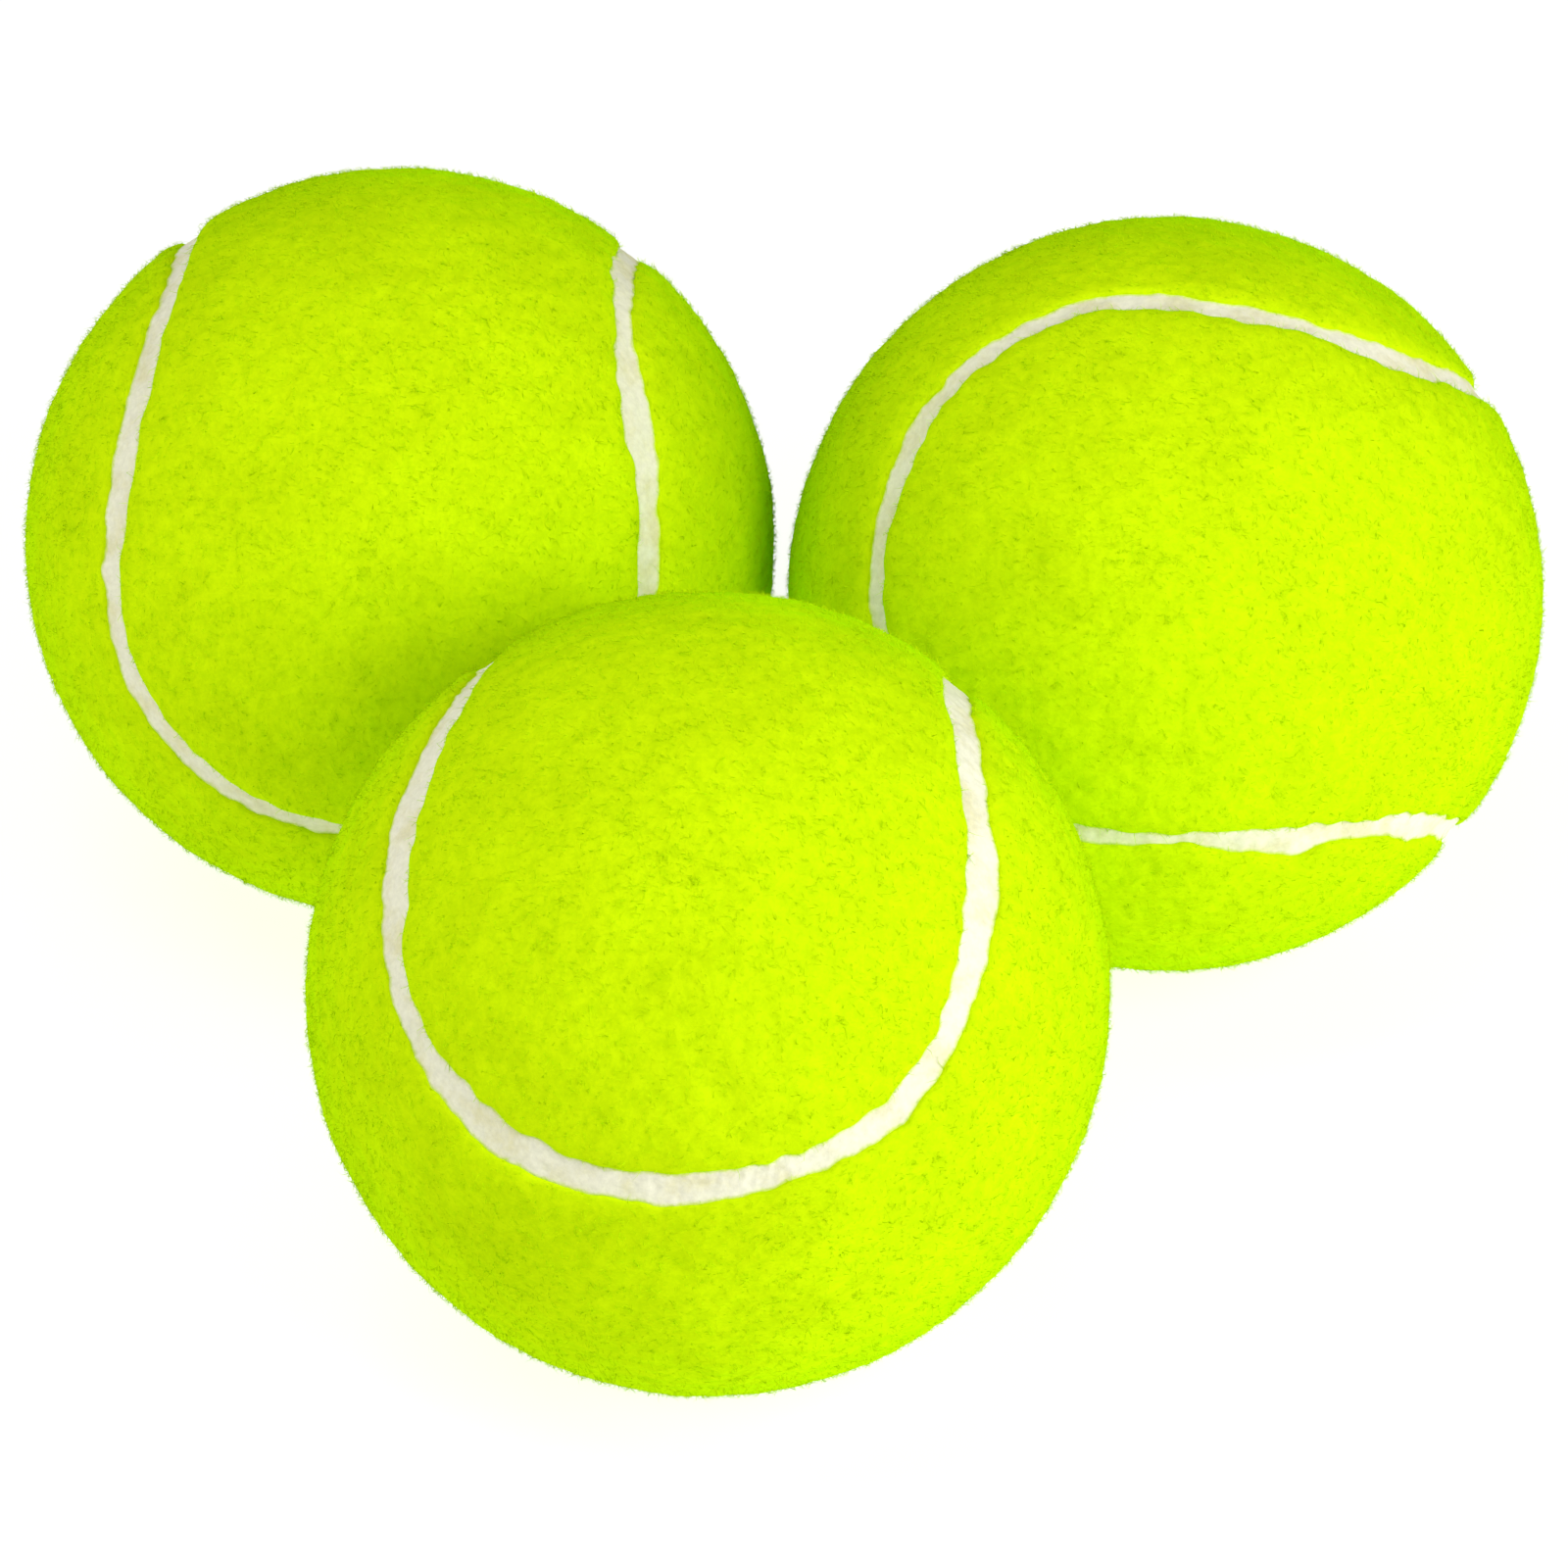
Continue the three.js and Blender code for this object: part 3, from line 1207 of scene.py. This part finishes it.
@dataclass(frozen=True)
class Studio:
    """The surface, the lights and the camera.

    Attributes:
        azimuth: The camera's place round the balls, in degrees from the front to the right.
        elevation: The camera's height in degrees.
        roll: How far the camera is rolled, in degrees.
        distance: From the camera to the point it looks at, in mm.
        aim: The point that it looks at, in mm.
        lens: Focal length in mm.
        sensor: Width of the camera's sensor in mm.
        table: Half the width of the light table, in mm.
    """

    azimuth: float = 5.45
    elevation: float = 39.15
    roll: float = 0.54
    distance: float = 648.2
    aim: tuple[float, float, float] = (3.2, -0.2, 32.4)
    lens: float = 173.4
    sensor: float = 36.0
    table: float = 3000.0

    def place_camera(self) -> None:
        """Puts up the camera: it looks along the way back to the aim, rolled about it."""
        data = bpy.data.cameras.new("camera")
        data.lens, data.sensor_width = self.lens, self.sensor
        data.clip_start, data.clip_end = 0.01, 20.0
        camera = bpy.data.objects.new("camera", data)
        away = direction_to(self.azimuth, self.elevation)
        facing = away.to_track_quat("Z", "Y").to_matrix()
        turn = facing @ Matrix.Rotation(math.radians(self.roll), 3, "Z")
        place = (Vector(self.aim) + away * self.distance) * MM
        camera.matrix_world = Matrix.Translation(place) @ turn.to_4x4()
        bpy.context.scene.collection.objects.link(camera)
        bpy.context.scene.camera = camera

    def lay_floor(self) -> None:
        """Lays the light table that the balls rest on."""
        half = self.table
        corners = np.array([(-half, -half, 0), (half, -half, 0), (half, half, 0), (-half, half, 0)])
        triangles = np.array([(0, 1, 2), (0, 2, 3)])
        mesh_object("table", corners, triangles, LightTable().material())

    def light(self) -> None:
        """Hangs the lights and sets the room's own soft light."""
        target = Vector(self.aim) * MM
        for box in (
            SoftBox("top", azimuth=-60, elevation=65, distance=0.4, level=0.37),
            SoftBox("overhead", azimuth=0, elevation=85, distance=0.4, level=0.12),
            SoftBox("key", azimuth=52, elevation=36, distance=0.42, level=0.58),
            SoftBox("right_edge", azimuth=82, elevation=12, distance=0.9, level=0.2),
            SoftBox("left_edge", azimuth=-90, elevation=28, distance=1.5, level=0.17),
        ):
            box.hang(target)
        world = bpy.data.worlds.new("room")
        world.use_nodes = True
        tree = world.node_tree
        # The room is brightest at the horizon: (1 - height)^3
        up = add_node(tree, "SeparateXYZ", None, {
            "Vector": add_node(tree, "TexCoord").outputs["Generated"],
        }).outputs["Z"]
        below = add_node(tree, "Math", {"operation": "SUBTRACT", "use_clamp": True}, {
            0: 1.0, 1: up,
        }).outputs["Value"]
        glow = add_node(tree, "Math", {"operation": "POWER"}, {0: below, 1: 3.0})
        strength = add_node(tree, "Math", {"operation": "MULTIPLY"}, {
            0: glow.outputs["Value"], 1: 0.95,
        }).outputs["Value"]
        tree.links.new(strength, tree.nodes["Background"].inputs["Strength"])
        tree.nodes["Background"].inputs["Color"].default_value = colour("FFFFFF")
        bpy.context.scene.world = world

    def set_view(self) -> None:
        """Keeps the felt's clean colour: a plain display transform."""
        view = bpy.context.scene.view_settings
        view.view_transform, view.look = "Standard", "None"
        view.exposure, view.gamma = 0.0, 1.0

    def build(self) -> None:
        """Sets the whole studio up."""
        self.place_camera()
        self.lay_floor()
        self.light()
        self.set_view()


BALLS = (
    TennisBall(
        BallName.FRONT,
        (-65.9, 0.0, -46.4),
        SeamEdges(3.0, aside=0.1, seed=1, strays=(
            Stray(at=268, reach=9, wider=0.8, aside=-0.8),
            Stray(at=282, reach=6, wider=-0.5, aside=-0.6),
            Stray(at=292, reach=9, aside=0.3),
            Stray(at=302, reach=7, wider=0.2, aside=-0.3),
            Stray(at=330, reach=7, wider=-0.8, aside=0.2),
            Stray(at=347, reach=7, wider=-0.4, aside=-0.3),
            Stray(at=0, reach=8, wider=0.6, aside=-0.9),
            Stray(at=15, reach=5, wider=0.3, aside=-0.4),
        )),
    ),
    TennisBall(
        BallName.LEFT,
        (-41.2, -1.7, -42.2),
        SeamEdges(2.5, aside=0.1, seed=4, strays=(
            Stray(at=12, reach=6, wider=0.9),
            Stray(at=22, reach=4, wider=-0.4),
            Stray(at=251, reach=6, aside=-0.3),
            Stray(at=264, reach=8, wider=0.7, aside=0.35),
            Stray(at=282, reach=7, wider=0.2, aside=-0.35),
            Stray(at=305, reach=6, wider=-0.5, aside=-0.3),
        )),
    ),
    TennisBall(
        BallName.RIGHT,
        (50.2, -83.7, -42.8),
        SeamEdges(2.25, aside=-0.15, seed=7, strays=(
            Stray(at=0, reach=4, wider=-1.0, aside=-0.8),
            Stray(at=42, reach=5, aside=0.5),
            Stray(at=56, reach=5, wider=0.5),
            Stray(at=69, reach=6, aside=-0.3),
            Stray(at=82, reach=7, aside=0.6),
            Stray(at=110, reach=7, wider=0.6),
            Stray(at=333, reach=5, wider=1.1, aside=0.3),
            Stray(at=341, reach=4, wider=-0.4, aside=0.2),
            Stray(at=350, reach=5, wider=0.9, aside=0.4),
        )),
    ),
)


def main() -> None:
    """Builds the studio and the three balls."""
    Studio().build()
    finishes = Finishes()
    for ball in BALLS:
        ball.build(finishes, [other.centre() for other in BALLS if other is not ball])


if __name__ == "__main__":
    main()
